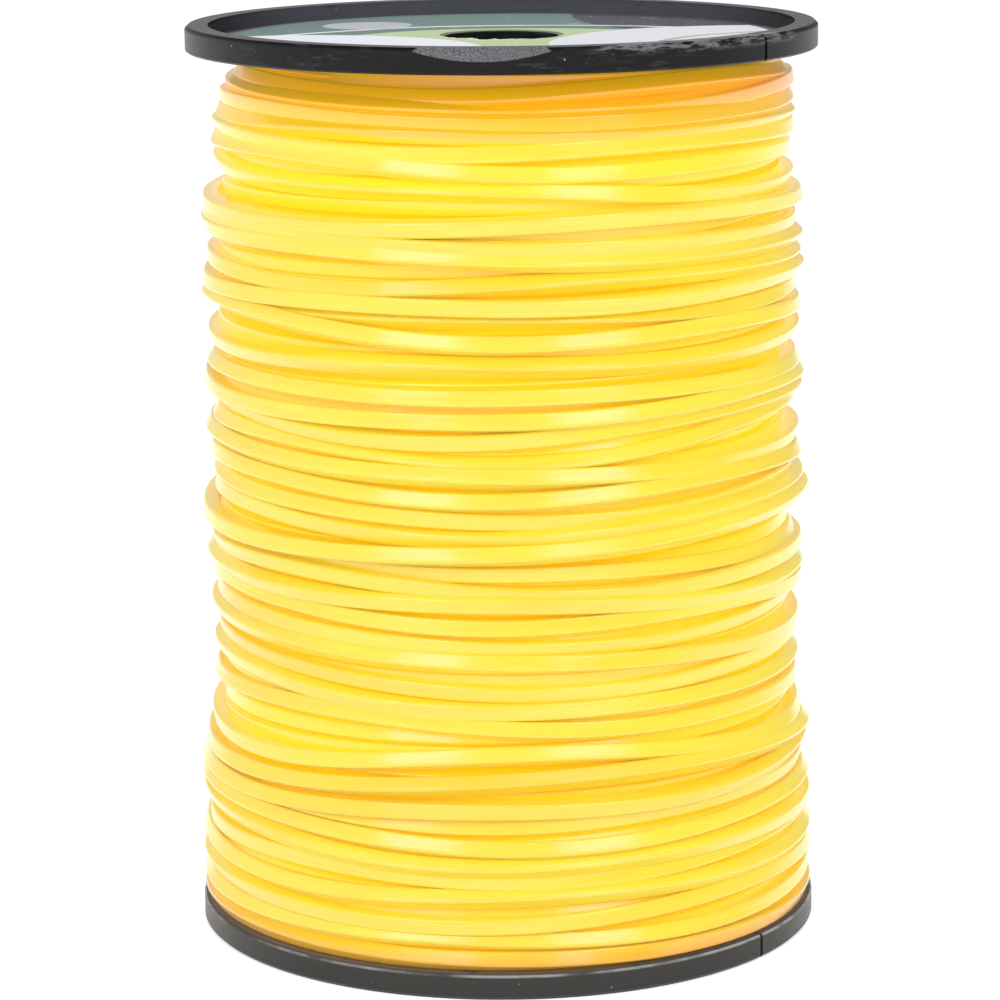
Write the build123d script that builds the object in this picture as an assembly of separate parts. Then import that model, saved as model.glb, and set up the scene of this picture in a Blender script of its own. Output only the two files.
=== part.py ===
from build123d import *

import os
from math import cos, exp, sin

# Spool of square trimmer line: a moulded spool, the wound line and a round paper label.
# It stands on its lower rim. The axis is +Z and the origin is the centre of the foot. Millimetres.

# Flanges
overall_height = 160.0
flange_diameter = 110.0
rim_height = 4.4
rim_width = 4.0
recess_depth = 2.6
outer_chamfer = 0.6
inner_chamfer = 0.3

# Slit in each rim that holds the line's end
slit_angle = -37.0
slit_width = 0.7
slit_depth = 6.0

# Hollow core: a spindle tube joined to the barrel by ribs
barrel_diameter = 40.0
barrel_wall = 2.0
spindle_bore = 20.0
spindle_wall = 2.0
rib_count = 4
rib_thickness = 1.6

# Worn flat: the upper rim's outer corner is ground off at the front
worn_angle = -93.4
worn_depth = 1.5
worn_drop = 2.1

# Wound line: a square line that shows two of its faces at each turn, with a groove between turns
line_width = 3.0
lay_gap = 0.3
groove_depth = 1.5
lay_swing = 0.5
swing_step = 2.4
swing_drift = 0.9
roll_share = 0.16
lay_lean = 0.7
ring_sides = 52
inset_low = 1.0
inset_middle = 2.5
inset_high = 4.6
top_slack = 4.5
slack_reach = 3.5
winding_clearance = 0.1

# Paper label in the upper recess
label_inset = 4.0
label_hole_gap = 0.8
label_thickness = 0.2

flange_radius = flange_diameter / 2
recess_radius = flange_radius - rim_width
barrel_radius = barrel_diameter / 2
bore_radius = spindle_bore / 2
web_top = overall_height - recess_depth
winding_low = rim_height
winding_high = overall_height - rim_height
winding_height = winding_high - winding_low


def turned(points):
    """A solid of revolution about Z from an outline of (radius, height) points."""
    outline = Plane.XZ * make_face(Polyline(*points, close=True))
    return revolve(outline, Axis.Z)


def upright(radius, low, high):
    """A cylinder on the axis between two heights."""
    return Pos(0, 0, low) * Cylinder(radius, high - low, align=(Align.CENTER, Align.CENTER, Align.MIN))


def rim_corner(height, way):
    """The four points of a rim's outer wall, walked away from the winding."""
    return [
        (flange_radius - inner_chamfer, height),
        (flange_radius, height + way * inner_chamfer),
        (flange_radius, height + way * (rim_height - outer_chamfer)),
        (flange_radius - outer_chamfer, height + way * rim_height),
    ]


def spool_outline():
    """Half of the spool's section, walked up the outside and down the bore."""
    lower_rim = rim_corner(winding_low, -1)[::-1]
    upper_rim = rim_corner(winding_high, 1)
    barrel = [(barrel_radius, winding_low), (barrel_radius, winding_high)]
    upper_recess = [(recess_radius, overall_height), (recess_radius, web_top), (bore_radius, web_top)]
    lower_recess = [(bore_radius, recess_depth), (recess_radius, recess_depth), (recess_radius, 0)]
    return lower_rim + barrel + upper_rim + upper_recess + lower_recess


def core_pockets():
    """The hollows between the ribs, open at both ends of the core."""
    inner = bore_radius + spindle_wall
    outer = barrel_radius - barrel_wall
    ring = upright(outer, recess_depth, web_top) - upright(inner, recess_depth, web_top)
    rib = Pos((inner + outer) / 2, 0, overall_height / 2) * Box(outer, rib_thickness, overall_height)
    return ring - [Rot(Z=360 * index / rib_count) * rib for index in range(rib_count)]


def line_slits():
    """An upright blade that cuts the same slit into both rims."""
    blade = Box(2 * slit_depth, slit_width, 2 * rim_height)
    return [Rot(Z=slit_angle) * Pos(flange_radius, 0, height) * blade for height in (0, overall_height)]


def worn_flat():
    """A wedge along a chord of the upper rim, which leaves a slanting flat at its outer corner."""
    corner = Polyline(
        (flange_radius - worn_depth, overall_height),
        (flange_radius, overall_height - worn_drop),
        (flange_radius + worn_depth, overall_height - worn_drop),
        (flange_radius + worn_depth, overall_height + worn_drop),
        (flange_radius - worn_depth, overall_height + worn_drop),
        close=True,
    )
    wedge = extrude(Plane.XZ * make_face(corner), flange_radius, both=True)
    return Rot(Z=worn_angle) * wedge


def moulded_spool():
    """Both flanges and the ribbed core, which leave the mould as one piece."""
    return turned(spool_outline()) - core_pockets() - line_slits() - worn_flat()


def lay_radius(share):
    """Radius of the outer ridges at a share of the winding's height: full low down, slack at the top."""
    low = inset_low * (1 - share) * (1 - 2 * share)
    middle = 4 * inset_middle * share * (1 - share)
    high = inset_high * share * (2 * share - 1)
    slack = top_slack * exp(-winding_height * (1 - share) / slack_reach)
    return flange_radius - low - middle - high - slack


def lay_ring(share, inset, lean):
    """A many-sided ring round the winding, set in from the ridges and tipped a little off level."""
    way = 360 * swing_drift * share
    tip = Rot(Z=way) * Rot(X=lean) * Rot(Z=-way)
    radius = lay_radius(share) - inset
    return Pos(0, 0, winding_low + winding_height * share) * tip * RegularPolygon(radius, ring_sides)


def winding_rings():
    """Rings from the lower flange to the upper one: a groove and a ridge for each turn of the line."""
    turns = max(2, round(winding_height / (line_width + lay_gap)))
    rings = [lay_ring(0, groove_depth, 0)]
    for turn in range(turns):
        swing = sin(swing_step * turn) * cos(swing_drift * turn)
        lean = lay_lean * sin(swing_drift * turn)
        ridge = turn + 0.5 + roll_share * swing
        rings.append(lay_ring(ridge / turns, lay_swing * (1 - swing), lean))
        if turn + 1 < turns:
            rings.append(lay_ring((turn + 1) / turns, groove_depth + lay_swing, lean))
    rings.append(lay_ring(1, groove_depth, 0))
    return rings


def wound_line():
    """All the turns of the line as one solid, ruled from ring to ring, with a hole for the barrel."""
    inner = barrel_radius + winding_clearance
    return loft(winding_rings(), ruled=True) - upright(inner, winding_low, winding_high)


def paper_label():
    """The round label on the upper web, with a hole that clears the spindle."""
    high = web_top + label_thickness
    disc = upright(recess_radius - label_inset, web_top, high)
    return disc - upright(bore_radius + label_hole_gap, web_top, high)


os.makedirs("parts", exist_ok=True)
export_step(moulded_spool(), "parts/spool.step")
export_step(wound_line(), "parts/wound_line.step")
export_step(paper_label(), "parts/label.step")
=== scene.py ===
"""Looks of a spool of square trimmer line: black moulded spool, yellow nylon turns and a printed label.

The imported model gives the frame, in metres, with +Z up the spool's axis and -Y towards the camera.
"""

import logging
import math
from dataclasses import dataclass
from enum import Enum
from functools import reduce

import bpy
import numpy as np
from mathutils import Matrix, Vector


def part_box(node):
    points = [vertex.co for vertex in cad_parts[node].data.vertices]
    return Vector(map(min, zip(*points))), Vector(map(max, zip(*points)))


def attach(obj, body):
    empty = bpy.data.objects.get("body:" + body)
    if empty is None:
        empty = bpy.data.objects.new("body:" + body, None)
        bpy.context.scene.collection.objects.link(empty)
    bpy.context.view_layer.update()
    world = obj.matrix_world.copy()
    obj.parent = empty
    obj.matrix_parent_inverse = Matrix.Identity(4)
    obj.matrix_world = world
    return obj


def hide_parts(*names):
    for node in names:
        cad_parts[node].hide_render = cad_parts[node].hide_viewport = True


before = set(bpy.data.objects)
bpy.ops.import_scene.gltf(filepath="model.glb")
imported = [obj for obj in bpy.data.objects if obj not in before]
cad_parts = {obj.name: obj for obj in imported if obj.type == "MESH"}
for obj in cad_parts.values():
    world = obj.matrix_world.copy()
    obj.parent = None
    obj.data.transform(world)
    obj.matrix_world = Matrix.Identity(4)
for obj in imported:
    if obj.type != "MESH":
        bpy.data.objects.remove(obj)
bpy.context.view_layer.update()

log = logging.getLogger("spool")

MM = 0.001
BODY = "root"
Array = np.ndarray
Object = bpy.types.Object
Colour = tuple[float, float, float, float]
Span = tuple[float, float]
Way = tuple[float, float, float]
Socket = bpy.types.NodeSocket
Supply = Socket | float | tuple[float, ...]
Inputs = dict[int | str, Supply]
SHORT_NAMES = {"ior": "IOR", "specular": "Specular IOR Level"}


class Lay(Enum):
    """How deep a turn of line lies among its neighbours; lower values were laid first."""

    UNDER = 0
    EVEN = 1
    OVER = 2


@dataclass(frozen=True)
class Turn:
    """One turn of the outer layer, as the photograph shows it.

    Attributes:
        row: Photograph row of the turn's middle where it crosses the picture's centre.
        left: Rise above level at the left, in millimetres.
        right: Rise above level at the right, in millimetres.
        lay: Whether it dips under its neighbours or rides over them.
        proud: How far it stands out beyond what carries it, in millimetres.
    """

    row: float
    left: float
    right: float
    lay: Lay = Lay.EVEN
    proud: float = 0.0


OUTER_TURNS: tuple[Turn, ...] = (
    Turn(82, 0.0, 0.0, Lay.UNDER),
    Turn(95, 0.2, 0.2, Lay.UNDER),
    Turn(111, 0.4, 0.4, Lay.UNDER),
    Turn(125, 0.6, 0.6),
    Turn(140, 0.9, 0.8),
    Turn(157, 1.3, 0.9),
    Turn(174, 1.6, -0.7),
    Turn(196, 1.5, -1.6),
    Turn(223, -2.0, -0.7, Lay.OVER, 0.4),
    Turn(238, -0.5, 1.3, Lay.UNDER),
    Turn(252, 1.0, 0.3, Lay.UNDER),
    Turn(266, 2.6, -0.3, Lay.OVER),
    Turn(288, -0.8, -0.2),
    Turn(305, -1.5, -0.5),
    Turn(324, 0.3, 0.2, Lay.UNDER),
    Turn(345, 2.1, 0.5, Lay.OVER),
    Turn(370, -0.7, 0.1),
    Turn(403, 0.3, 0.2),
    Turn(426, 0.9, 1.4, Lay.OVER),
    Turn(440, 0.9, 1.7),
    Turn(465, 0.8, 3.3, Lay.UNDER),
    Turn(484, 1.7, 1.3),
    Turn(504, 1.2, 1.4),
    Turn(526, 1.4, 1.5, Lay.UNDER),
    Turn(542, 1.5, 2.2, Lay.UNDER),
    Turn(556, -0.6, 2.2, Lay.OVER, 0.9),
    Turn(574, 1.0, -2.0, Lay.UNDER),
    Turn(596, 1.3, -0.3),
    Turn(611, 1.4, -0.4, Lay.OVER),
    Turn(630, 1.7, -0.2),
    Turn(651, 1.5, 0.5, Lay.UNDER),
    Turn(665, 0.9, -1.7, Lay.OVER),
    Turn(696, 2.4, 0.7, Lay.UNDER),
    Turn(713, 1.6, -0.2),
    Turn(732, 0.9, -0.9),
    Turn(764, -2.1, -1.4),
    Turn(781, -4.1, -1.5, Lay.OVER, 0.3),
    Turn(811, -2.4, 0.3),
    Turn(830, 0.0, 1.5, Lay.UNDER),
    Turn(855, 2.2, 1.8),
    Turn(872, 1.8, 0.8),
    Turn(887, 1.0, 1.1, Lay.UNDER),
    Turn(903, 0.2, 0.2),
    Turn(923, -1.2, 0.2, Lay.OVER),
    Turn(943, -1.0, -0.1),
    Turn(965, 0.1, -0.2),
)


@dataclass
class PhotoCamera:
    """The camera that took the photograph, fitted to the flanges' edges.

    Attributes:
        distance: From the spool's axis along -Y, in metres.
        height: Above the floor, in metres.
        pitch: Downward tilt, in radians.
        roll: Turn about the line of sight, in radians.
        yaw: Turn about the vertical, in radians.
        focal: Focal length, in photograph pixels.
        frame_size: Side of the photograph, in pixels.
        sensor: Sensor width, in millimetres.
    """

    distance: float = 0.69276
    height: float = 0.21522
    pitch: float = 0.1998
    roll: float = -0.0083
    yaw: float = -0.0013
    focal: float = 3966.0
    frame_size: float = 1000.0
    sensor: float = 36.0

    def height_at_row(self, row: float, reach: float) -> float:
        """Height of a point in front of the axis that shows at a row of the photograph.

        Args:
            row: Photograph row, in pixels from the top.
            reach: How far the point stands in front of the axis, in metres.

        Returns:
            The point's height, in metres.
        """
        slope = (self.frame_size / 2 - row) / self.focal
        away = self.distance - reach
        rise = slope * math.cos(self.pitch) - math.sin(self.pitch)
        return self.height + away * rise / (math.cos(self.pitch) + slope * math.sin(self.pitch))

    def build(self) -> None:
        """Creates the camera and makes it the scene's own."""
        turn = (
            Matrix.Rotation(-self.yaw, 4, "Z")
            @ Matrix.Rotation(math.pi / 2 - self.pitch, 4, "X")
            @ Matrix.Rotation(self.roll, 4, "Z")
        )
        lens = bpy.data.cameras.new("photo_camera")
        lens.sensor_width = self.sensor
        lens.lens = self.focal / self.frame_size * self.sensor
        camera = bpy.data.objects.new("photo_camera", lens)
        camera.matrix_world = Matrix.Translation((0, -self.distance, self.height)) @ turn
        bpy.context.collection.objects.link(camera)
        bpy.context.scene.camera = camera


class NodeSheet:
    """The node tree of a material or a world, with short calls for the nodes that are used here."""

    def __init__(self, owner: bpy.types.ID, shader: str = "Principled BSDF") -> None:
        """Opens the tree.

        Args:
            owner: The material or world.
            shader: Name of the node that the others feed.
        """
        owner.use_nodes = True
        self.owner = owner
        self.tree = owner.node_tree
        self.shader = self.tree.nodes[shader]

    def feed(self, target: Socket, value: Supply) -> None:
        """Links an input socket, or sets its constant.

        Args:
            target: The input socket.
            value: Another node's output, or a plain value.
        """
        if isinstance(value, Socket):
            self.tree.links.new(value, target)
        else:
            target.default_value = value

    def set(self, **sockets: Supply) -> None:
        """Feeds the shader's inputs.

        Args:
            sockets: Values by the inputs' short names, or by their names in lower case with underscores.
        """
        for name, value in sockets.items():
            full = SHORT_NAMES.get(name, name.replace("_", " ").title())
            self.feed(self.shader.inputs[full], value)

    def node(self, kind: str, inputs: Inputs | None = None, **settings: str) -> bpy.types.Node:
        """Adds a node.

        Args:
            kind: Blender's name for the node's type.
            inputs: What feeds its inputs, by their names or numbers.
            settings: Properties to set on the node.

        Returns:
            The new node.
        """
        made = self.tree.nodes.new(kind)
        for name, value in settings.items():
            setattr(made, name, value)
        for place, value in (inputs or {}).items():
            self.feed(made.inputs[place], value)
        return made

    def maths(self, operation: str, *values: Supply) -> Socket:
        """The result of a math node's operation on one to three values."""
        return self.node("ShaderNodeMath", dict(enumerate(values)), operation=operation).outputs[0]

    def chain(self, operation: str, *values: Socket) -> Socket:
        """The result of an operation on any number of values, two at a time."""
        return reduce(lambda result, value: self.maths(operation, result, value), values)

    def both(self, *masks: Socket) -> Socket:
        """A mask that is 1 where all of the masks are."""
        return self.chain("MULTIPLY", *masks)

    def attribute(self, name: str) -> Socket:
        """The number that the mesh stores under a name."""
        return self.node("ShaderNodeAttribute", attribute_name=name).outputs["Fac"]

    def gauge(self, operation: str, place: Socket, other: Way = (0.0, 0.0, 0.0)) -> Socket:
        """The number that a vector node's operation gives for coordinates."""
        made = self.node("ShaderNodeVectorMath", {0: place, 1: other}, operation=operation)
        return made.outputs["Value"]

    def stretched(self, place: Socket, scale: Way) -> Socket:
        """Coordinates scaled unevenly, which draws a texture out along one of them."""
        return self.node("ShaderNodeVectorMath", {0: place, 1: scale}, operation="MULTIPLY").outputs[0]

    def axes(self, place: Socket) -> tuple[Socket, ...]:
        """The X, Y and Z of coordinates."""
        return tuple(self.node("ShaderNodeSeparateXYZ", {0: place}).outputs)

    def blend(self, share: Supply, low: Supply, high: Supply) -> Socket:
        """A mix of two colours with a share of the second, 0 to 1."""
        return self.node("ShaderNodeMix", {0: share, 6: low, 7: high}, data_type="RGBA").outputs[2]

    def noise(self, place: Socket, scale: float, detail: float = 3.0, rough: float = 0.55) -> Socket:
        """A noise value, by the cells in a unit, the number of finer octaves and their strength."""
        inputs = {"Vector": place, "Scale": scale, "Detail": detail, "Roughness": rough}
        return self.node("ShaderNodeTexNoise", inputs).outputs[0]

    def ranged(self, value: Socket, ends: tuple[float, ...], kind: str = "LINEAR") -> Socket:
        """A value carried from one range, the first two ends, to another."""
        inputs = dict(enumerate((value, *ends)))
        return self.node("ShaderNodeMapRange", inputs, interpolation_type=kind).outputs[0]

    def step(self, value: Socket, low: float, high: float) -> Socket:
        """A smooth rise from 0 at low to 1 at high, or a fall where low is the larger."""
        ends = (low, high, 0.0, 1.0) if low < high else (high, low, 1.0, 0.0)
        return self.ranged(value, ends, "SMOOTHSTEP")

    def bump(self, height: Socket, strength: float, reach: float) -> None:
        """Feeds a share of a bump, whose full height is in metres, to the shader's normal."""
        made = self.node("ShaderNodeBump", {"Strength": strength, "Distance": reach, "Height": height})
        self.set(normal=made.outputs[0])


@dataclass(frozen=True)
class NylonFinish:
    """Clear yellow drawn nylon: its edges pale, and the die leaves fine lines along it.

    Deep between the turns a warmer colour is painted on as shade, and a faint painted glow there stands
    for light that comes through them.
    Scales are in cells a metre, along the line and around it, and depths in metres. An edge holds the
    noise values between which a colour fades in.

    Attributes:
        cloudy: Colour where the nylon is a little thicker.
        golden: Colour of the darker stretches of line.
        deep: Painted shade between the turns, warmer than the open faces.
        amber: Colour in the shade of a flange.
        gloss: Tint of the highlights.
        bloom: Tint of the pale edges.
        glow: Colour of the light between the turns.
    """

    face: Colour = (1.0, 0.84, 0.055, 1.0)
    cloudy: Colour = (1.0, 0.78, 0.04, 1.0)
    golden: Colour = (1.0, 0.70, 0.025, 1.0)
    deep: Colour = (1.0, 0.73, 0.018, 1.0)
    amber: Colour = (0.93, 0.36, 0.005, 1.0)
    gloss: Colour = (0.8, 0.45, 1.0, 1.0)
    bloom: Colour = (1.0, 0.90, 0.84, 1.0)
    bloom_weight: float = 0.3
    bloom_roughness: float = 0.35
    glow: Colour = (1.0, 0.72, 0.012, 1.0)
    glow_strength: float = 0.25
    roughness: float = 0.14
    roughness_swing: float = 0.12
    refraction: float = 1.75
    cloud_scale: Way = (40.0, 120.0, 1.0)
    cloud_edge: Span = (0.35, 0.7)
    tone_scale: Way = (6.0, 0.0, 0.0)
    tone_edge: Span = (0.48, 0.72)
    drawn_scale: Way = (14.0, 2600.0, 1.0)
    drawn_depth: float = 0.00004

    def material(self) -> bpy.types.Material:
        """Builds the material.

        Returns:
            The nylon's material.
        """
        sheet = NodeSheet(bpy.data.materials.new("line_nylon_drawn"))
        along = sheet.node("ShaderNodeUVMap", uv_map="along_line").outputs[0]
        gap_shade_and_glow = sheet.attribute("gap_shade_and_glow")
        shaded = sheet.attribute("shaded")
        cloud = sheet.noise(sheet.stretched(along, self.cloud_scale), 1.0, 3.0)
        tone = sheet.noise(sheet.stretched(along, self.tone_scale), 1.0, 1.0)
        drawn = sheet.noise(sheet.stretched(along, self.drawn_scale), 1.0, 2.0)
        tint = sheet.blend(sheet.step(cloud, *self.cloud_edge), self.face, self.cloudy)
        tint = sheet.blend(sheet.step(tone, *self.tone_edge), tint, self.golden)
        # Painted shade: a warmer colour deep between the turns.
        tint = sheet.blend(gap_shade_and_glow, tint, self.deep)
        tint = sheet.blend(shaded, tint, self.amber)
        smoothest = self.roughness - self.roughness_swing / 2
        sheet.set(
            base_color=tint,
            roughness=sheet.maths("MULTIPLY_ADD", drawn, self.roughness_swing, smoothest),
            sheen_weight=self.bloom_weight,
            sheen_roughness=self.bloom_roughness,
            sheen_tint=self.bloom,
            specular_tint=self.gloss,
            # Painted light: a faint glow deep between the turns.
            emission_color=self.glow,
            emission_strength=sheet.maths("MULTIPLY", gap_shade_and_glow, self.glow_strength),
            ior=self.refraction,
        )
        sheet.owner.cycles.emission_sampling = "NONE"
        sheet.bump(drawn, 0.25, self.drawn_depth)
        return sheet.owner


@dataclass(frozen=True)
class SpoolFinish:
    """Black moulded plastic: fine grain, specks, rubbed edges, a rough worn flat, a dusting, painted
    light and a painted highlight.

    Lengths are in metres and scales in cells a metre. A span holds where a mask is 0 and where it is 1:
    heights where its name ends in rise, radii or distances where it ends in reach, noise values in edge.

    Attributes:
        worn_normal: Direction that the worn flat faces.
        worn_offset: Distance of the worn flat's plane from the origin.
        foot_light: Painted light on the plastic near the foot, as the floor throws it back.
        ground: Pale grains of the worn flat and of the chewed stretch of the upper rim.
        recess_light: Painted light on the upper recess's wall at the back.
        ledge_dust_and_light: Colour of the lower rim's ledge, a grey dusting with painted light that
            lifts the winding's shade.
        ledge_outer: Colour of that ledge towards its outer edge, with less of the painted light.
        crown_specular: Level of the reflections on top of the upper rim.
        recess_back: Distances behind the axis over which the recess's painted light comes in.
        ledge_low, ledge_high: Heights at which the ledge starts and stops.
    """

    worn_normal: Way
    worn_offset: float
    worn_reach: Span = (0.00012, 0.00003)
    black: Colour = (0.006, 0.006, 0.0065, 1.0)
    foot_light: Colour = (0.042, 0.041, 0.04, 1.0)
    rubbed: Colour = (0.05, 0.05, 0.056, 1.0)
    ground: Colour = (0.24, 0.235, 0.25, 1.0)
    speck: Colour = (0.34, 0.34, 0.35, 1.0)
    recess_light: Colour = (0.085, 0.086, 0.105, 1.0)
    ledge_dust_and_light: Colour = (0.2, 0.2, 0.21, 1.0)
    ledge_outer: Colour = (0.06, 0.06, 0.064, 1.0)
    specular: float = 0.2
    crown_specular: float = 0.03
    chewed_way: Way = (0.64, -0.77, 0.0)
    chewed_reach: Span = (0.0495, 0.0515)
    chewed_rise: Span = (0.1580, 0.1594)
    crown_rise: Span = (0.1592, 0.1597)
    recess_reach: Span = (0.0514, 0.0511)
    recess_rise: Span = (0.1570, 0.1573)
    recess_back: Span = (0.0, 0.042)
    foot_rise: Span = (0.03, 0.005)
    ledge_low: Span = (0.00385, 0.00415)
    ledge_high: Span = (0.0048, 0.0046)
    brink_reach: Span = (0.0546, 0.0548)
    shelf_reach: Span = (0.0546, 0.0537)
    grain_scale: float = 5200.0
    grain_depth: float = 0.00006
    cloud_scale: float = 60.0
    scuff_scale: float = 240.0
    scuff_stretch: Way = (1.0, 1.0, 6.0)
    speck_scale: float = 1300.0
    grain_edge: Span = (0.35, 0.65)
    scuff_edge: Span = (0.5, 0.72)
    chewed_edge: Span = (0.42, 0.56)
    cloud_edge: Span = (0.4, 0.65)
    brink_edge: Span = (0.4, 0.6)
    speck_edge: Span = (0.79, 0.82)
    roughness: float = 0.36
    rubbed_roughness: float = 0.61
    worn_roughness: float = 0.85
    worn_relief: float = 6.0

    def chewed(self, sheet: NodeSheet, place: Socket, scuff: Socket) -> Socket:
        """Masks the chewed stretch of the upper rim.

        Args:
            sheet: The material's node sheet.
            place: Object coordinates.
            scuff: The scuffs' noise.

        Returns:
            A mask that is 1 where the edge is chewed.
        """
        toward = sheet.step(sheet.gauge("DOT_PRODUCT", place, self.chewed_way), *self.chewed_reach)
        high = sheet.step(sheet.axes(place)[2], *self.chewed_rise)
        return sheet.both(toward, high, sheet.step(scuff, *self.chewed_edge))

    def dusting_and_painted_light(self, sheet: NodeSheet, place: Socket, cloud: Socket) -> Socket:
        """Colours the plastic with a dusting, painted light and a painted highlight along the lower
        ledge's outer edge.

        Args:
            sheet: The material's node sheet.
            place: Object coordinates.
            cloud: Noise of the cleaner and dirtier patches.

        Returns:
            The plastic's colour socket.
        """
        _, back, height = sheet.axes(place)
        across = sheet.gauge("LENGTH", sheet.stretched(place, (1.0, 1.0, 0.0)))
        # Painted light on the back of the upper recess's wall.
        recess = sheet.both(
            sheet.step(across, *self.recess_reach),
            sheet.step(height, *self.recess_rise),
            sheet.step(back, *self.recess_back),
        )
        ledge = sheet.both(sheet.step(height, *self.ledge_low), sheet.step(height, *self.ledge_high))
        # Painted highlight: a broken pale line along the ledge's outer edge, in the speck colour.
        rubbed = sheet.step(cloud, *self.brink_edge)
        brink_highlight = sheet.both(ledge, sheet.step(across, *self.brink_reach), rubbed)
        # The ledge: a grey dusting with painted light, lighter next to the winding to lift the shade it
        # casts.
        shelf = sheet.blend(sheet.step(across, *self.shelf_reach), self.ledge_outer, self.ledge_dust_and_light)
        # Painted light near the foot, as the floor throws it back.
        tint = sheet.blend(sheet.step(height, *self.foot_rise), self.black, self.foot_light)
        tint = sheet.blend(recess, tint, self.recess_light)
        tint = sheet.blend(ledge, tint, shelf)
        return sheet.blend(brink_highlight, tint, self.speck)

    def material(self) -> bpy.types.Material:
        """Builds the material.

        Returns:
            The spool's material.
        """
        sheet = NodeSheet(bpy.data.materials.new("spool_plastic_moulded"))
        place = sheet.node("ShaderNodeTexCoord").outputs["Object"]
        grain = sheet.noise(place, self.grain_scale, 2.0, 0.7)
        cloud = sheet.noise(place, self.cloud_scale, 4.0)
        scuff = sheet.noise(sheet.stretched(place, self.scuff_stretch), self.scuff_scale, 5.0, 0.65)
        speck = sheet.step(sheet.noise(place, self.speck_scale, 1.0), *self.speck_edge)
        rubbing = sheet.both(sheet.step(scuff, *self.scuff_edge), sheet.step(cloud, *self.cloud_edge))
        facing = sheet.gauge("DOT_PRODUCT", place, self.worn_normal)
        above = sheet.maths("ABSOLUTE", sheet.maths("SUBTRACT", facing, self.worn_offset))
        worn = sheet.step(above, *self.worn_reach)
        ground = sheet.blend(sheet.step(grain, *self.grain_edge), self.rubbed, self.ground)
        tint = sheet.blend(rubbing, self.dusting_and_painted_light(sheet, place, cloud), self.rubbed)
        tint = sheet.blend(speck, tint, self.speck)
        tint = sheet.blend(self.chewed(sheet, place, scuff), tint, ground)
        tint = sheet.blend(worn, tint, ground)
        rise = self.rubbed_roughness - self.roughness
        rough = sheet.maths("MULTIPLY_ADD", rubbing, rise, self.roughness)
        rough = sheet.maths("MAXIMUM", rough, sheet.maths("MULTIPLY", worn, self.worn_roughness))
        crown = sheet.step(sheet.axes(place)[2], *self.crown_rise)
        level = sheet.maths("MULTIPLY_ADD", crown, self.crown_specular - self.specular, self.specular)
        sheet.set(base_color=tint, roughness=rough, specular=level)
        coarse = sheet.maths("MULTIPLY", grain, self.worn_relief)
        relief = sheet.maths("MULTIPLY_ADD", worn, coarse, grain)
        sheet.bump(relief, 0.2, self.grain_depth)
        return sheet.owner


@dataclass(frozen=True)
class Patch:
    """A round field of print, or the ring at its edge.

    Attributes:
        centre: Centre on the label, in millimetres.
        radius: Radius, in millimetres.
        colour: The ink.
        stroke: Width of the ring, in millimetres; a whole disc where it is 0.
    """

    centre: tuple[float, float]
    radius: float
    colour: Colour
    stroke: float = 0.0


@dataclass(frozen=True)
class LabelFinish:
    """Printed paper: plain fields of green, leaf green, white and grey with curved edges.

    Scales are in cells a metre and depths in metres.

    Attributes:
        bare: Colour of torn and rubbed paper.
        patches: The fields, each over those before it.
        edge: How far a field's edge blurs, in millimetres.
        wear_share: How much of the print a rubbed spot takes off.
    """

    green: Colour = (0.11, 0.18, 0.16, 1.0)
    bare: Colour = (0.8, 0.8, 0.82, 1.0)
    patches: tuple[Patch, ...] = (
        Patch((70, 40), 57, (0.045, 0.042, 0.06, 1.0)),
        Patch((4, -40), 60, (0.68, 0.70, 0.70, 1.0), 1.6),
        Patch((2, -24), 37, (0.42, 0.51, 0.27, 1.0)),
        Patch((44, -20), 36, (0.64, 0.64, 0.69, 1.0)),
        Patch((60, -30), 36, (0.30, 0.37, 0.22, 1.0), 1.4),
        Patch((-34, -29), 31, (0.70, 0.70, 0.78, 1.0)),
        Patch((-24, 21), 8, (0.40, 0.40, 0.48, 1.0)),
    )
    edge: float = 0.12
    specular: float = 0.015
    roughness: float = 0.36
    roughness_swing: float = 0.2
    fibre_scale: float = 1500.0
    fibre_depth: float = 0.00005
    wear_scale: float = 420.0
    wear_edge: Span = (0.62, 0.7)
    wear_share: float = 0.35

    def inside(self, sheet: NodeSheet, place: Socket, patch: Patch) -> Socket:
        """Masks a field of print.

        Args:
            sheet: The material's node sheet.
            place: Object coordinates.
            patch: The field.

        Returns:
            A mask that is 1 inside the field.
        """
        centre = (patch.centre[0] * MM, patch.centre[1] * MM, 0.0)
        reach = sheet.gauge("DISTANCE", sheet.stretched(place, (1.0, 1.0, 0.0)), centre)
        mask = sheet.step(reach, (patch.radius + self.edge) * MM, (patch.radius - self.edge) * MM)
        if patch.stroke:
            bore = patch.radius - patch.stroke
            mask = sheet.both(mask, sheet.step(reach, (bore - self.edge) * MM, bore * MM))
        return mask

    def material(self) -> bpy.types.Material:
        """Builds the material.

        Returns:
            The label's material.
        """
        sheet = NodeSheet(bpy.data.materials.new("label_paper_printed"))
        place = sheet.node("ShaderNodeTexCoord").outputs["Object"]
        fibre = sheet.noise(place, self.fibre_scale, 3.0)
        tint = self.green
        for patch in self.patches:
            tint = sheet.blend(self.inside(sheet, place, patch), tint, patch.colour)
        tint = sheet.blend(sheet.attribute("torn"), tint, self.bare)
        worn = sheet.step(sheet.noise(place, self.wear_scale, 4.0, 0.7), *self.wear_edge)
        tint = sheet.blend(sheet.maths("MULTIPLY", worn, self.wear_share), tint, self.bare)
        rough = sheet.maths("MULTIPLY_ADD", fibre, self.roughness_swing, self.roughness)
        sheet.set(base_color=tint, roughness=rough, specular=self.specular)
        sheet.bump(fibre, 0.15, self.fibre_depth)
        return sheet.owner


def store(mesh: bpy.types.Mesh, name: str, values: Array) -> None:
    """Stores a number for each vertex of a mesh under a name."""
    layer = mesh.attributes.new(name, "FLOAT", "POINT")
    layer.data.foreach_set("value", values.astype(np.float32))


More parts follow.
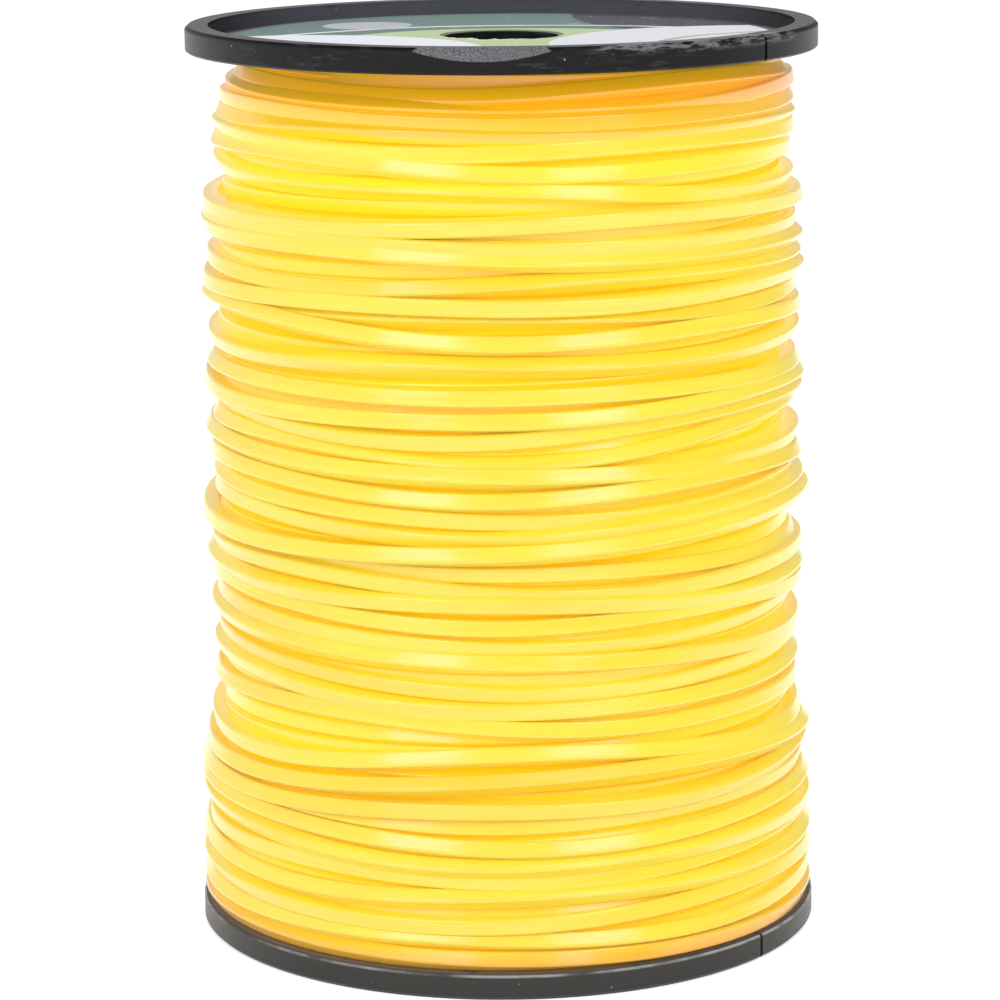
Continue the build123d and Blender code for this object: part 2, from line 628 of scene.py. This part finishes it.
def quads(here: Array, there: Array, around: int) -> list[list[int]]:
    """Joins closed rings of vertices by four-sided faces.

    Args:
        here: First vertex of each ring.
        there: First vertex of the ring that it is joined to.
        around: Vertices in a ring.

    Returns:
        The vertices of each face, by number.
    """
    ring = np.arange(around)
    after = np.roll(ring, -1)
    pairs = ((here, ring), (there, ring), (there, after), (here, after))
    return np.stack([np.add.outer(*pair) for pair in pairs], axis=2).reshape(-1, 4).tolist()


@dataclass
class Strip:
    """A stretch of swept mesh.

    Attributes:
        points: Vertices, in metres.
        faces: Vertices of each face, by number.
        lengths: Length along and around the line at each vertex, in metres.
        facings: The way each vertex faces.
    """

    points: Array
    faces: list[list[int]]
    lengths: Array
    facings: Array


@dataclass
class Winding:
    """The wound line: an outer layer of turns over a bed of older turns and a solid heart.

    Sizes are in millimetres, angles in degrees from +X towards +Y, and waves are counted by the turn.

    Attributes:
        heart_share: How far the heart lies below the bed's middle line, in line widths.
        flange_share: How near to a flange a middle line may come, in line widths.
        side_gap: Distance at which two turns rest on each other.
        behind_wander: How far a turn strays at the back.
        seen_angles: Left, front and right, where the photograph gives a turn's height.
        sink: How deep a turn sits, by its lay.
        gap_shade_depths: Depths between which the painted shade and glow between the turns come in.
        bridge_steps: Steps to each side over which the line bridges a dip.
        stiffness: Width of the smoothing along the line, in steps.
        crest_heights, crest_radii: Knots of the outer faces' profile.
        most_lift: How far a turn may ride above the profile.
        warm_below, warm_above: Distances from the upper and lower flange over which the shade fades.
    """

    camera: PhotoCamera
    line_width: float = 2.9
    corner: float = 0.55
    outer_corner_points: int = 3
    bed_corner_points: int = 2
    heart_bore: float = 21.0
    heart_share: float = 0.3
    heart_levels: int = 12
    bed_drop: float = 1.9
    bed_wander: float = 0.5
    bed_waves: Way = (0.41, 0.83, 1.37)
    flange_share: float = 0.63
    side_gap: float = 2.4
    wander: float = 0.35
    outer_waves: Way = (1.83, 2.71, 3.57)
    behind_wander: float = 0.9
    sink: Way = (0.7, 0.0, -0.3)
    bridge_steps: int = 4
    stiffness: float = 3.0
    gap_shade_depths: Span = (0.5, 2.8)
    bed_pitch: float = 3.3
    outer_steps: int = 96
    bed_steps: int = 72
    start_angle: float = 90.0
    seen_angles: Way = (213.0, 270.0, 327.0)
    roll_lean: float = 12.0
    roll_swing: float = 20.0
    roll_waves: Way = (0.37, 0.71, 1.13)
    top_shift: float = 3.4
    shift_from: float = 135.0
    seed: int = 11
    crest_heights: tuple[float, ...] = (4.4, 24.0, 45.0, 75.0, 126.0, 135.0, 146.0, 150.0, 155.6)
    crest_radii: tuple[float, ...] = (54.4, 54.2, 51.9, 51.9, 52.0, 50.4, 49.6, 48.8, 45.3)
    waist_radius: float = 51.9
    largest_radius: float = 53.0
    most_lift: float = 0.8
    warm_below: Span = (4.5, 12.5)
    warm_above: Span = (1.0, 4.5)
    foot_warmth: float = 0.75
    tuck_depth: float = 3.4
    tuck_steps: int = 14

    def __post_init__(self) -> None:
        """Reads the room that the winding has from its solid in the frame."""
        low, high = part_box("wound_line")
        self.low = low[2] / MM
        self.high = high[2] / MM
        self.random = np.random.default_rng(self.seed)

    def crest(self, height: Array) -> Array:
        """Radius of the line's outer face at each height."""
        return np.interp(height, self.crest_heights, self.crest_radii)

    def bed_radius(self, height: Array) -> Array:
        """Radius of the bed's middle line at each height, one layer below the crest."""
        return self.crest(height) - self.line_width / 2 - self.bed_drop

    def gap_shade_and_glow(self, points: Array) -> Array:
        """Share of painted shade and glow at each vertex, by its depth among the turns: 0 on the open
        faces, 1 well in.

        Args:
            points: Vertices, in metres.

        Returns:
            The depth of each, from 0 to 1.
        """
        full = np.maximum(self.crest(points[:, 2] / MM), self.waist_radius)
        depth = full - np.hypot(points[:, 0], points[:, 1]) / MM
        share = np.interp(depth, self.gap_shade_depths, (0.0, 1.0))
        return share * share * (3 - 2 * share)

    def shaded(self, points: Array) -> Array:
        """How near each vertex lies to a flange, which keeps the light off it.

        Args:
            points: Vertices, in metres.

        Returns:
            The nearness of each, from 0 to 1.
        """
        height = points[:, 2] / MM
        top = np.interp(self.high - height, self.warm_below, (1.0, 0.0))
        foot = np.interp(height - self.low, self.warm_above, (self.foot_warmth, 0.0))
        return np.maximum(top, foot)

    def shifted(self, heights: Array) -> Array:
        """How far the slack upper turns lie off centre, towards +X.

        Args:
            heights: Heights at the steps of one turn.

        Returns:
            What it adds to the radius at each step.
        """
        angle = math.radians(self.start_angle) + 2 * np.pi * np.arange(len(heights)) / len(heights)
        share = (heights - self.shift_from) / (self.high - self.shift_from)
        return self.top_shift * np.cos(angle) * np.clip(share, 0.0, 1.0) ** 3

    def inside(self, height: Array) -> Array:
        """Keeps middle lines clear of the flanges."""
        margin = self.flange_share * self.line_width
        return np.clip(height, self.low + margin, self.high - margin)

    def waved(self, travel: Array, counts: Way) -> Array:
        """Adds up waves of unit size that start anywhere.

        Args:
            travel: Turns travelled along the line at each step.
            counts: Waves in a turn, for each wave.

        Returns:
            The sum of the waves at each step.
        """
        total = np.zeros_like(travel)
        for waves in counts:
            total += np.sin(2 * np.pi * waves * travel + self.random.uniform(0, 2 * np.pi))
        return total

    def through(self, angles: list[float], heights: list[float], at: Array) -> Array:
        """A smooth curve through knots.

        Args:
            angles: The knots' angles, rising.
            heights: The knots' heights.
            at: Angles to read it at.

        Returns:
            The height at each angle.
        """
        knots = np.array(angles)
        values = np.array(heights)
        slopes = np.gradient(values, knots)
        span = np.clip(np.searchsorted(knots, at, side="right") - 1, 0, len(knots) - 2)
        width = knots[span + 1] - knots[span]
        share = np.clip((at - knots[span]) / width, 0.0, 1.0)
        rise = values[span + 1] - values[span]
        ease = share * share * (3 - 2 * share)
        leave = share * (1 - share) ** 2 * width * slopes[span]
        arrive = share * share * (share - 1) * width * slopes[span + 1]
        return values[span] + rise * ease + leave + arrive

    def outer_heights(self) -> Array:
        """Heights of the outer turns, as photographed and joined round the back.

        Returns:
            One row of heights for each turn.
        """
        middles = []
        for turn in OUTER_TURNS:
            guess = self.camera.height_at_row(turn.row, self.waist_radius * MM) / MM
            reach = float(self.crest(np.array(guess))) * MM
            middles.append(self.camera.height_at_row(turn.row, reach) / MM)
        angles: list[float] = []
        heights: list[float] = []
        for index, (turn, middle) in enumerate(zip(OUTER_TURNS, middles)):
            base = 360.0 * index
            angles += [base + angle for angle in self.seen_angles]
            heights += [middle + turn.left, middle, middle + turn.right]
            if index + 1 < len(OUTER_TURNS):
                stray = self.random.uniform(-self.behind_wander, self.behind_wander)
                angles.append(base + 360.0 + self.start_angle)
                heights.append((middle + middles[index + 1]) / 2 + stray)
        steps = len(OUTER_TURNS) * self.outer_steps
        travel = np.arange(steps) / self.outer_steps
        line = self.through(angles, heights, self.start_angle + 360.0 * travel)
        line += self.wander * self.waved(travel, self.outer_waves)
        return self.inside(line).reshape(len(OUTER_TURNS), self.outer_steps)

    def bed_heights(self) -> Array:
        """Heights of the bed's turns: an even helix that wanders a little.

        Returns:
            One row of heights for each turn.
        """
        count = int((self.high - self.low) / self.bed_pitch)
        travel = np.arange(count * self.outer_steps) / self.outer_steps
        wander = self.bed_wander * self.waved(travel, self.bed_waves)
        climb = self.low + self.bed_pitch * (travel + 0.5) + wander
        return self.inside(climb).reshape(count, self.outer_steps)

    def softened(self, radii: Array) -> Array:
        """Evens out a run of radii as a stiff line does.

        Args:
            radii: One value a step along the line.

        Returns:
            The smoothed radii.
        """
        half = int(3 * self.stiffness)
        weights = np.exp(-0.5 * (np.arange(-half, half + 1) / self.stiffness) ** 2)
        padded = np.pad(radii, half, mode="edge")
        return np.convolve(padded, weights / weights.sum(), mode="valid")

    def stacked(self, heights: Array) -> Array:
        """Radii of the outer turns, each resting on the bed or on what was laid before it.

        Both ends of the line tuck in.

        Args:
            heights: Heights of the outer turns.

        Returns:
            The radius at each step of each turn.
        """
        laid = []
        radii = np.zeros_like(heights)
        for index in sorted(range(len(heights)), key=lambda place: OUTER_TURNS[place].lay.value):
            turn = OUTER_TURNS[index]
            row = heights[index]
            rest = self.bed_radius(row) + self.bed_drop - self.sink[turn.lay.value] + self.shifted(row)
            for other, radius in laid:
                gap = np.abs(row - other)
                lift = np.sqrt(np.maximum(self.side_gap ** 2 - gap ** 2, 0.0))
                rest = np.where(gap < self.side_gap, np.maximum(rest, radius + lift), rest)
            shifts = range(-self.bridge_steps, self.bridge_steps + 1)
            bridged = np.max([np.roll(rest, shift) for shift in shifts], axis=0)
            rest = self.softened(np.concatenate([bridged] * 3))[len(rest):2 * len(rest)]
            limit = self.crest(row) - self.line_width / 2 + self.most_lift + self.shifted(row)
            radii[index] = np.minimum(np.minimum(rest, limit) + turn.proud, self.largest_radius)
            laid.append((row, radii[index]))
        line = self.softened(radii.ravel())
        away = np.minimum(np.arange(line.size), np.arange(line.size)[::-1])
        line -= self.tuck_depth * np.clip(1.0 - away / self.tuck_steps, 0.0, 1.0) ** 2
        return line.reshape(radii.shape)

    def section(self, points_a_corner: int) -> Array:
        """The line's rounded square section.

        Args:
            points_a_corner: Points on each rounded corner.

        Returns:
            For each point, counter-clockwise, its place in millimetres and the way it faces.
        """
        flat = self.line_width / 2 - self.corner
        quarter, point = np.divmod(np.arange(4 * points_a_corner), points_a_corner)
        angle = np.pi / 2 * (quarter + point / max(1, points_a_corner - 1))
        centre = np.pi / 2 * (quarter + 0.5)
        facing = np.stack([np.cos(angle), np.sin(angle)], axis=1)
        middle = flat * np.sign(np.stack([np.cos(centre), np.sin(centre)], axis=1))
        return np.hstack([middle + self.corner * facing, facing])

    def swept(self, heights: Array, radii: Array, steps: int, points_a_corner: int) -> Strip:
        """Sweeps the section along a run of turns.

        Args:
            heights: Height at each step along the line.
            radii: Radius at each step.
            steps: Steps in a turn.
            points_a_corner: Points on each corner of the section.

        Returns:
            The swept line, closed at both ends.
        """
        count = len(heights)
        angle = math.radians(self.start_angle) + 2 * np.pi * np.arange(count) / steps
        travel = np.arange(count) / steps
        roll = np.radians(self.roll_lean + self.roll_swing * self.waved(travel, self.roll_waves))
        section = self.section(points_a_corner)
        around = len(section)
        cosine, sine = np.cos(roll)[:, None], np.sin(roll)[:, None]
        (out, up), (out_facing, up_facing) = (
            (first * cosine - second * sine, first * sine + second * cosine)
            for first, second in (section.T[:2], section.T[2:])
        )
        out += radii[:, None]
        up += heights[:, None]
        east, north = np.cos(angle)[:, None], np.sin(angle)[:, None]
        points = np.stack([out * east, out * north, up], axis=2).reshape(-1, 3) * MM
        facing = np.stack([out_facing * east, out_facing * north, up_facing], axis=2).reshape(-1, 3)
        ring = np.arange(around)
        rows = np.arange(count) * around
        faces = quads(rows[:-1], rows[1:], around)
        faces.append(ring.tolist())
        faces.append((ring[::-1] + (count - 1) * around).tolist())
        length = np.repeat(travel * 2 * np.pi * radii.mean() * MM, around)
        girth = np.tile(ring / around * 4 * self.line_width * MM, count)
        return Strip(points, faces, np.stack([length, girth], axis=1), facing)

    def heart(self, steps: int) -> Strip:
        """A closed ring under the bed, so that no gap shows the barrel.

        Args:
            steps: Steps round the ring.

        Returns:
            The ring.
        """
        levels = np.linspace(self.low, self.high, self.heart_levels)
        outer = self.bed_radius(levels) - self.heart_share * self.line_width
        profile = [(self.heart_bore, self.low), *zip(outer, levels), (self.heart_bore, self.high)]
        angle = 2 * np.pi * np.arange(steps) / steps
        points = np.array([
            (radius * math.cos(turn), radius * math.sin(turn), height)
            for turn in angle for radius, height in profile
        ]) * MM
        rows = np.arange(steps) * len(profile)
        faces = quads(rows, np.roll(rows, -1), len(profile))
        outward = points * (1.0, 1.0, 0.0)
        return Strip(points, faces, points[:, 1:], outward / np.linalg.norm(outward, axis=1)[:, None])

    def joined(self, strips: list[Strip]) -> bpy.types.Mesh:
        """Joins strips into one smooth mesh with its texture lengths and depths.

        Args:
            strips: The strips.

        Returns:
            The mesh.
        """
        faces, first = [], 0
        for strip in strips:
            faces += [[first + corner for corner in face] for face in strip.faces]
            first += len(strip.points)
        points = np.concatenate([strip.points for strip in strips])
        lengths = np.concatenate([strip.lengths for strip in strips])
        facings = np.concatenate([strip.facings for strip in strips])
        mesh = bpy.data.meshes.new("wound_line_turns")
        mesh.from_pydata(points.tolist(), [], faces)
        mesh.polygons.foreach_set("use_smooth", np.ones(len(mesh.polygons), dtype=bool))
        corners = np.zeros(len(mesh.loops), dtype=np.int32)
        mesh.loops.foreach_get("vertex_index", corners)
        layer = mesh.uv_layers.new(name="along_line")
        layer.data.foreach_set("uv", lengths[corners].astype(np.float32).ravel())
        mesh.update()
        mesh.normals_split_custom_set_from_vertices(facings.tolist())
        # Painted shade and glow between the turns, by depth.
        store(mesh, "gap_shade_and_glow", self.gap_shade_and_glow(points))
        store(mesh, "shaded", self.shaded(points))
        return mesh

    def build(self, finish: NylonFinish) -> Object:
        """Makes the wound line's mesh, which stands for the plain solid.

        Args:
            finish: The nylon's finish.

        Returns:
            The mesh object.
        """
        bed = self.bed_heights()
        outer = self.outer_heights()
        radii = self.stacked(outer)
        thin = np.linspace(0, bed.size - 1, len(bed) * self.bed_steps)
        bed_line = np.interp(thin, np.arange(bed.size), bed.ravel())
        mesh = self.joined([
            self.swept(outer.ravel(), radii.ravel(), self.outer_steps, self.outer_corner_points),
            self.swept(bed_line, self.bed_radius(bed_line), self.bed_steps, self.bed_corner_points),
            self.heart(self.outer_steps),
        ])
        turns = bpy.data.objects.new("wound_line_turns", mesh)
        bpy.context.collection.objects.link(turns)
        mesh.materials.append(finish.material())
        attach(turns, BODY)
        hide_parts("wound_line")
        return turns


@dataclass
class SpoolBody:
    """The moulded spool, which keeps its own solid and gets its finish here.

    The worn flat's sizes repeat those of the solid, in millimetres and degrees.
    """

    worn_angle: float = -93.4
    worn_depth: float = 1.5
    worn_drop: float = 2.1

    def dress(self) -> Object:
        """Gives the spool its plastic.

        Returns:
            The spool's object.
        """
        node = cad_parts["spool"]
        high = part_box("spool")[1]
        turn = math.radians(self.worn_angle)
        outward = Vector((math.cos(turn), math.sin(turn), 0.0))
        upward = Vector((0.0, 0.0, 1.0))
        facing = (self.worn_drop * outward + self.worn_depth * upward).normalized()
        offset = facing.dot((high[0] - self.worn_depth * MM) * outward + high[2] * upward)
        finish = SpoolFinish(tuple(facing), offset)
        node.data.materials.clear()
        node.data.materials.append(finish.material())
        return node


@dataclass
class Label:
    """The round paper label in the upper recess, torn round its hole.

    Sizes are in millimetres and angles in degrees.

    Attributes:
        tear_spread: Angle to each side at which the tear ends.
        bare_from: Strength of the tear from which the paper is bare.
        buckle: How far the sheet lifts off the web.
        buckle_twist: How far its waves twist from the hole to the edge, in radians.
    """

    hole_radius: float = 10.8
    tear_angle: float = 252.0
    tear_spread: float = 70.0
    tear_depth: float = 3.6
    torn_width: float = 2.4
    bare_from: float = 0.02
    jag_waves: tuple[int, ...] = (7, 13, 23, 37)
    jag_level: float = 0.5
    jag_swing: float = 0.8
    buckle: float = 0.12
    buckle_waves: int = 3
    buckle_twist: float = 4.0
    spokes: int = 192
    rings: int = 10
    seed: int = 5

    def ragged(self, turns: Array) -> Array:
        """How strongly the edge of the hole is torn at each angle, 0 to 1."""
        away = np.abs((np.degrees(turns) - self.tear_angle + 180.0) % 360.0 - 180.0)
        return np.clip(1.0 - away / self.tear_spread, 0.0, 1.0)

    def outline(self, turns: Array) -> Array:
        """Radius of the hole's edge at each angle, pushed in where the paper is torn.

        Args:
            turns: Angles, in radians.

        Returns:
            The radius at each angle.
        """
        random = np.random.default_rng(self.seed)
        jags = np.zeros_like(turns)
        for waves in self.jag_waves:
            jags += np.sin(waves * turns + random.uniform(0, 2 * np.pi)) / math.sqrt(waves)
        jags = np.clip(self.jag_level + self.jag_swing * jags, 0.0, 1.0)
        return self.hole_radius - self.tear_depth * jags * self.ragged(turns)

    def ring_radii(self, turns: Array, outer: float) -> list[Array]:
        """Radii of the rings of vertices, from the hole's edge to the label's.

        Args:
            turns: Angles, in radians.
            outer: The label's radius.

        Returns:
            The radius at each angle, for each ring.
        """
        edge = self.outline(turns)
        torn = np.minimum(edge + self.torn_width * self.ragged(turns), outer)
        shares = np.arange(2, self.rings) / (self.rings - 1)
        return [edge, torn] + [np.maximum(edge + (outer - edge) * share, torn) for share in shares]

    def vertices(self, turns: Array) -> Array:
        """Places the vertices of the upper side and then those of the lower side.

        Args:
            turns: Angles, in radians.

        Returns:
            The vertices, in metres.
        """
        low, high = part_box("label")
        points = []
        for level in (high[2] / MM, low[2] / MM):
            for ring, radius in enumerate(self.ring_radii(turns, high[0] / MM)):
                share = ring / (self.rings - 1)
                swell = math.sin(math.pi * share)
                wave = np.sin(self.buckle_waves * turns + self.buckle_twist * share)
                lift = self.buckle * swell * (0.5 + 0.5 * swell * wave)
                place = [radius * np.cos(turns), radius * np.sin(turns), level + lift]
                points.append(np.stack(place, axis=1))
        return np.concatenate(points) * MM

    def faces(self) -> list[list[int]]:
        """Joins the rings of the upper side, the outer edge, the lower side and the hole's edge.

        Returns:
            The vertices of each face, by number.
        """
        upper = np.arange(self.rings) * self.spokes
        rows = np.concatenate([upper, upper[::-1] + self.rings * self.spokes])
        return quads(rows, np.roll(rows, -1), self.spokes)

    def build(self, finish: LabelFinish) -> Object:
        """Makes the label's mesh, which stands for the plain disc.

        Args:
            finish: The print.

        Returns:
            The mesh object.
        """
        turns = 2 * np.pi * np.arange(self.spokes) / self.spokes
        torn = np.zeros((2, self.rings, self.spokes))
        torn[:, 0] = self.ragged(turns) > self.bare_from
        mesh = bpy.data.meshes.new("label_sheet")
        mesh.from_pydata(self.vertices(turns).tolist(), [], self.faces())
        store(mesh, "torn", torn.ravel())
        mesh.update()
        sheet = bpy.data.objects.new("label_sheet", mesh)
        bpy.context.collection.objects.link(sheet)
        mesh.materials.append(finish.material())
        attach(sheet, BODY)
        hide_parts("label")
        return sheet


@dataclass
class Studio:
    """Pale floor, white surround, and strip lamps in front, at the sides, behind and overhead.

    The side lamps only fill and cast no highlight. Lengths are in metres, angles in degrees and powers in
    watts.

    Attributes:
        floor_lift: Light added where the floor is seen.
        surround: Strength of the surround as a light.
        mirrored: Its strength where it is mirrored, at the left and at the right.
    """

    floor_side: float = 8.0
    floor_colour: Colour = (0.9, 0.9, 0.9, 1.0)
    floor_lift: float = 0.5
    white: Colour = (1.0, 1.0, 1.0, 1.0)
    lamp_distance: float = 1.1
    lamp_angle: float = 36.0
    lamp_height: float = 0.85
    side_height: float = 0.3
    lamp_power: float = 4.3
    lamp_size: Span = (0.62, 0.75)
    aim_height: float = 0.08
    overhead_place: Way = (0.1, 0.2, 1.2)
    overhead_size: Span = (0.9, 0.9)
    overhead_power: float = 2.5
    back_power: float = 3.2
    side_power: float = 1.6
    surround: float = 0.59
    mirrored: Span = (1.0, 0.25)

    def floor(self) -> None:
        """Lays the floor."""
        half = self.floor_side / 2
        mesh = bpy.data.meshes.new("floor")
        corners = [(-half, -half, 0), (half, -half, 0), (half, half, 0), (-half, half, 0)]
        mesh.from_pydata(corners, [], [(0, 1, 2, 3)])
        sheet = NodeSheet(bpy.data.materials.new("pale_floor"))
        rays = sheet.node("ShaderNodeLightPath").outputs
        kinds = ("Is Camera Ray", "Is Glossy Ray", "Is Transmission Ray")
        seen = sheet.chain("MAXIMUM", *(rays[kind] for kind in kinds))
        lift = sheet.maths("MULTIPLY", seen, self.floor_lift)
        sheet.set(base_color=self.floor_colour, roughness=0.9, specular=0.0)
        sheet.set(emission_color=self.white, emission_strength=lift)
        mesh.materials.append(sheet.owner)
        floor = bpy.data.objects.new("floor", mesh)
        bpy.context.collection.objects.link(floor)

    def lamp(self, name: str, place: Vector, size: Span, power: float) -> Object:
        """Hangs a soft lamp that faces the spool's middle.

        Args:
            name: The lamp's name.
            place: Where it hangs, in metres.
            size: Its width and height, in metres.
            power: Its power, in watts.

        Returns:
            The lamp's object.
        """
        light = bpy.data.lights.new(name, "AREA")
        light.shape = "RECTANGLE"
        light.size, light.size_y = size
        light.energy = power
        lamp = bpy.data.objects.new(name, light)
        lamp.location = place
        aim = Vector((0.0, 0.0, self.aim_height)) - place
        lamp.rotation_euler = aim.to_track_quat("-Z", "Y").to_euler()
        bpy.context.collection.objects.link(lamp)
        return lamp

    def world(self) -> None:
        """Sets the surround: white where it is seen, softer as a light, mirrored paler on the left."""
        world = bpy.data.worlds.new("white_surround")
        sheet = NodeSheet(world, "Background")
        rays = sheet.node("ShaderNodeLightPath").outputs
        across = sheet.axes(sheet.node("ShaderNodeTexCoord").outputs["Generated"])[0]
        mirror = sheet.ranged(across, (-1.0, 1.0, *self.mirrored))
        inputs = {0: rays["Is Glossy Ray"], 2: self.surround, 3: mirror}
        level = sheet.node("ShaderNodeMix", inputs).outputs[0]
        light = sheet.chain("MAXIMUM", level, rays["Is Camera Ray"], rays["Is Transmission Ray"])
        sheet.set(color=self.white, strength=light)
        bpy.context.scene.world = world

    def build(self) -> None:
        """Sets up the floor, the surround and the lamps."""
        self.floor()
        self.world()
        for name, side in (("strip_left", -1), ("strip_right", 1)):
            swing = Matrix.Rotation(math.radians(self.lamp_angle) * side, 3, "Z")
            front = swing @ Vector((0.0, -self.lamp_distance, self.lamp_height))
            self.lamp(name, front, self.lamp_size, self.lamp_power)
            beside = Vector((self.lamp_distance * side, 0.0, self.side_height))
            soft = self.lamp(f"{name}_side", beside, self.lamp_size, self.side_power)
            soft.visible_glossy = False
        behind = Vector((0.0, self.lamp_distance, self.lamp_height))
        self.lamp("strip_back", behind, self.lamp_size, self.back_power)
        self.lamp("overhead", Vector(self.overhead_place), self.overhead_size, self.overhead_power)
        bpy.context.scene.view_settings.view_transform = "Standard"


def main() -> None:
    """Builds the pieces in order and reports each one."""
    logging.basicConfig(level=logging.INFO, format="%(name)s: %(message)s")
    camera = PhotoCamera()
    camera.build()
    Studio().build()
    pieces = (
        SpoolBody().dress(),
        Label().build(LabelFinish()),
        Winding(camera).build(NylonFinish()),
    )
    for piece in pieces:
        log.info("%s: %d faces", piece.name, len(piece.data.polygons))


if __name__ == "__main__":
    main()
